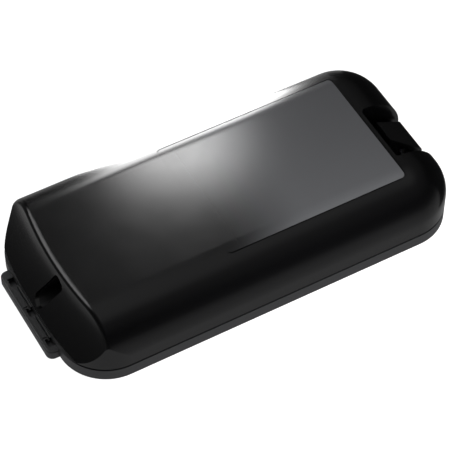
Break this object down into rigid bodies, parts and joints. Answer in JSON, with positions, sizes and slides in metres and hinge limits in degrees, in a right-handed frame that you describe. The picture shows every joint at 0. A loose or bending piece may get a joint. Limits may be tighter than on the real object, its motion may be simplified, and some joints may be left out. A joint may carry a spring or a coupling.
{
  "type": "clip-in battery pack",
  "caption": "Flat clip-in battery pack: rounded two-part plastic case with a hooked toe and slotted port at one end and a sprung latch at the other.",
  "frame": {"origin": "bottom centre of the whole pack, lying on its back", "axes": "+X along the pack from the toe to the latch, +Z out of its back through its domed front"},
  "size_m": [0.2462, 0.1188, 0.0432],
  "materials": {
    "case_plastic": "fine moulded grain, satin black",
    "tray_plastic": "fine moulded grain, dull dark grey",
    "label_film": "smooth satin film, blank",
    "latch_plastic": "fine moulded grain, satin black",
    "port_plastic": "dull black",
    "seal_rubber": "dull black",
    "pad_rubber": "dull charcoal",
    "pin_steel": "ground",
    "spring_steel": "drawn wire",
    "screw_steel": "zinc plated",
    "contact_brass": "plated, bright",
    "nickel": "rolled nickel",
    "cell_sleeve": "shrink sleeve",
    "carrier_plastic": "moulded, grey",
    "insulator_card": "fish paper",
    "board_laminate": "solder mask, green",
    "chip_plastic": "moulded epoxy",
    "fuse_ceramic": "plain",
    "connector_plastic": "natural nylon",
    "bead_resin": "dipped resin",
    "red_insulation": "silicone",
    "black_insulation": "silicone",
    "white_insulation": "silicone",
    "foam": "closed-cell foam"
  },
  "bodies": {
    "pack": {"base_tray": "tray_plastic", "perimeter_seal": "seal_rubber", "upper_shell": "case_plastic", "label_plate": "label_film", "port_insert": "port_plastic", "contact_pins": "contact_brass", "latch_pin": "pin_steel", "latch_spring": "spring_steel", "bank_insulator": "insulator_card", "bank_link": "nickel", "bms_board": "board_laminate", "bms_mosfets": "chip_plastic", "fuse": "fuse_ceramic", "sense_connector": "connector_plastic", "thermistor": "bead_resin", "positive_lead": "red_insulation", "negative_lead": "black_insulation", "sense_lead": "white_insulation", "case_screws": "screw_steel", "board_screws": "screw_steel", "rear_pads": "pad_rubber", "foam_under": "foam", "foam_over": "foam", "cell_01": "cell_sleeve", "cell_02": "cell_sleeve", "cell_03": "cell_sleeve", "cell_04": "cell_sleeve", "cell_05": "cell_sleeve", "cell_06": "cell_sleeve", "cell_07": "cell_sleeve", "cell_08": "cell_sleeve", "cell_09": "cell_sleeve", "cell_10": "cell_sleeve", "cell_11": "cell_sleeve", "cell_12": "cell_sleeve", "cell_13": "cell_sleeve", "cell_14": "cell_sleeve", "cell_15": "cell_sleeve", "cell_16": "cell_sleeve", "cell_17": "cell_sleeve", "cell_18": "cell_sleeve", "cell_carrier_1": "carrier_plastic", "cell_carrier_2": "carrier_plastic", "cell_carrier_3": "carrier_plastic", "cell_carrier_4": "carrier_plastic", "bus_strips_1": "nickel", "bus_strips_2": "nickel", "bus_strips_3": "nickel", "bus_strips_4": "nickel"},
    "latch": {"latch_lever": "latch_plastic"}
  },
  "joints": [
    {"name": "latch_press", "type": "hinge", "parent": "pack", "child": "latch", "pos_m": [0.10265, -0.00725, 0.0276], "axis": [0, 1, 0], "range_deg": [0, 7], "stiffness_Nm_per_rad": 1.2, "springref_deg": -8.59, "deforming": ["latch_spring"]}
  ]
}
